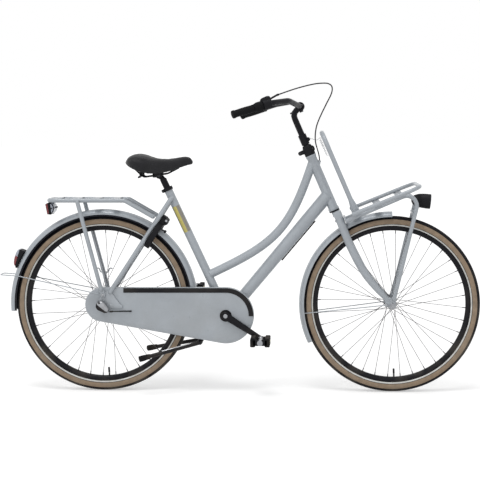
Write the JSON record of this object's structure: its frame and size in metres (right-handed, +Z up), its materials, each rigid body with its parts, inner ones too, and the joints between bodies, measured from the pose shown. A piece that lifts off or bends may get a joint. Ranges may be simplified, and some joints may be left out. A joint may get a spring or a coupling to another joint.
{
  "type": "dutch city bike",
  "caption": "Dutch city bike with a swan-neck frame, full chain guard, front and rear carriers, fenders, lamps, ring lock and folding stand.",
  "frame": {"origin": "on the ground, under the middle of the bike's box", "axes": "+X forward, +Y to the rider's left, +Z up; the drive side is -Y"},
  "size_m": [1.9537, 0.6292, 1.2508],
  "materials": {
    "grey_lacquer": "satin blue-grey lacquer",
    "black_lacquer": "gloss black",
    "black_plastic": "fine matte",
    "black_rubber": "matte",
    "tyre": "black tread with tan sidewalls",
    "silver": "satin",
    "dark_steel": "oiled",
    "red_lens": "moulded red",
    "clear_lens": "clear",
    "saddle_leather": "padded black synthetic leather"
  },
  "bodies": {
    "frame": {"head_tube": "grey_lacquer", "bottom_bracket_shell": "grey_lacquer", "seat_tube": "grey_lacquer", "top_tube": "grey_lacquer", "down_tube": "grey_lacquer", "chain_stays": "grey_lacquer", "seat_stays": "grey_lacquer", "headset_lower_cup": "black_plastic", "headset_cover": "black_plastic", "seat_clamp": "black_lacquer", "chain_guard": "grey_lacquer", "chain_guard_trim": "black_plastic", "chain": "dark_steel", "rear_fender": "grey_lacquer", "rear_fender_stay": "grey_lacquer", "rear_lamp": "black_plastic", "rear_lamp_lens": "red_lens", "rear_carrier": "grey_lacquer", "carrier_reflector": "red_lens", "ring_lock_body": "black_plastic", "kickstand_bracket": "silver", "brake_arm": "dark_steel", "gear_box": "black_plastic", "rear_axle": "silver", "gear_cable": "black_rubber", "gear_cable_rod": "silver"},
    "rear_wheel": {"rear_hub": "silver", "rear_rim": "black_lacquer", "rear_tyre": "tyre"},
    "sprocket": {"rear_sprocket": "dark_steel"},
    "cranks": {"crank_right": "black_lacquer", "crank_left": "black_lacquer", "chainring": "dark_steel"},
    "pedal_right": {"pedal_right": "black_plastic"},
    "pedal_left": {"pedal_left": "black_plastic"},
    "kickstand": {"kickstand": "black_lacquer"},
    "saddle_post": {"seat_post": "silver", "saddle": "saddle_leather", "saddle_rails": "silver"},
    "lock_shackle": {"lock_shackle": "dark_steel"},
    "steering": {"fork": "grey_lacquer", "stem": "black_lacquer", "handlebar": "black_lacquer", "grip_left": "black_rubber", "grip_right": "black_rubber", "shifter_housing": "black_plastic", "front_carrier": "grey_lacquer", "carrier_upright": "grey_lacquer", "front_fender": "grey_lacquer", "front_fender_stay": "grey_lacquer", "front_axle": "silver", "carrier_spring": "silver", "shift_cable": "black_rubber"},
    "shifter_twist": {"shifter_twist": "black_rubber"},
    "headlamp": {"headlamp": "black_plastic", "headlamp_lens": "clear_lens"},
    "front_wheel": {"front_hub": "silver", "front_rim": "black_lacquer", "front_tyre": "tyre"}
  },
  "joints": [
    {"name": "steering", "type": "hinge", "parent": "frame", "child": "steering", "pos_m": [0.386, 0, 0.74], "axis": [-0.3955, 0, 0.9184], "range_deg": [-70, 70], "deforming": ["shift_cable"]},
    {"name": "front_wheel_spin", "type": "hinge", "parent": "steering", "child": "front_wheel", "pos_m": [0.619, 0, 0.358], "axis": [0, 1, 0], "continuous": true},
    {"name": "rear_wheel_spin", "type": "hinge", "parent": "frame", "child": "rear_wheel", "pos_m": [-0.554, 0, 0.358], "axis": [0, 1, 0], "continuous": true},
    {"name": "crank_spin", "type": "hinge", "parent": "frame", "child": "cranks", "pos_m": [-0.052, 0, 0.315], "axis": [0, 1, 0], "continuous": true},
    {"name": "sprocket_spin", "type": "hinge", "parent": "frame", "child": "sprocket", "pos_m": [-0.554, 0, 0.358], "axis": [0, 1, 0], "continuous": true},
    {"name": "pedal_right_spin", "type": "hinge", "parent": "cranks", "child": "pedal_right", "pos_m": [0.09138, -0.13, 0.22366], "axis": [0, 1, 0], "continuous": true},
    {"name": "pedal_left_spin", "type": "hinge", "parent": "cranks", "child": "pedal_left", "pos_m": [-0.19538, 0.13, 0.40634], "axis": [0, 1, 0], "continuous": true},
    {"name": "kickstand_fold", "type": "hinge", "parent": "frame", "child": "kickstand", "pos_m": [-0.16, 0, 0.202], "axis": [0, -1, 0], "range_deg": [0, 87]},
    {"name": "seat_post_slide", "type": "slide", "parent": "frame", "child": "saddle_post", "axis": [-0.4242, 0, 0.9056], "range_m": [-0.03, 0.06]},
    {"name": "gear_twist", "type": "hinge", "parent": "steering", "child": "shifter_twist", "pos_m": [0.14005, -0.236, 1.16976], "axis": [-0.8809, -0.384, -0.2766], "range_deg": [-30, 30]},
    {"name": "lock_shackle", "type": "hinge", "parent": "frame", "child": "lock_shackle", "pos_m": [-0.34535, 0, 0.63957], "axis": [0.8384, 0, -0.5451], "range_deg": [0, 62]},
    {"name": "headlamp_tilt", "type": "hinge", "parent": "steering", "child": "headlamp", "pos_m": [0.71055, 0, 0.73495], "axis": [0, 1, 0], "range_deg": [-10, 10]}
  ],
  "couplings": [
    {"joint": "sprocket_spin", "follows": "crank_spin", "ratio": 2}
  ]
}
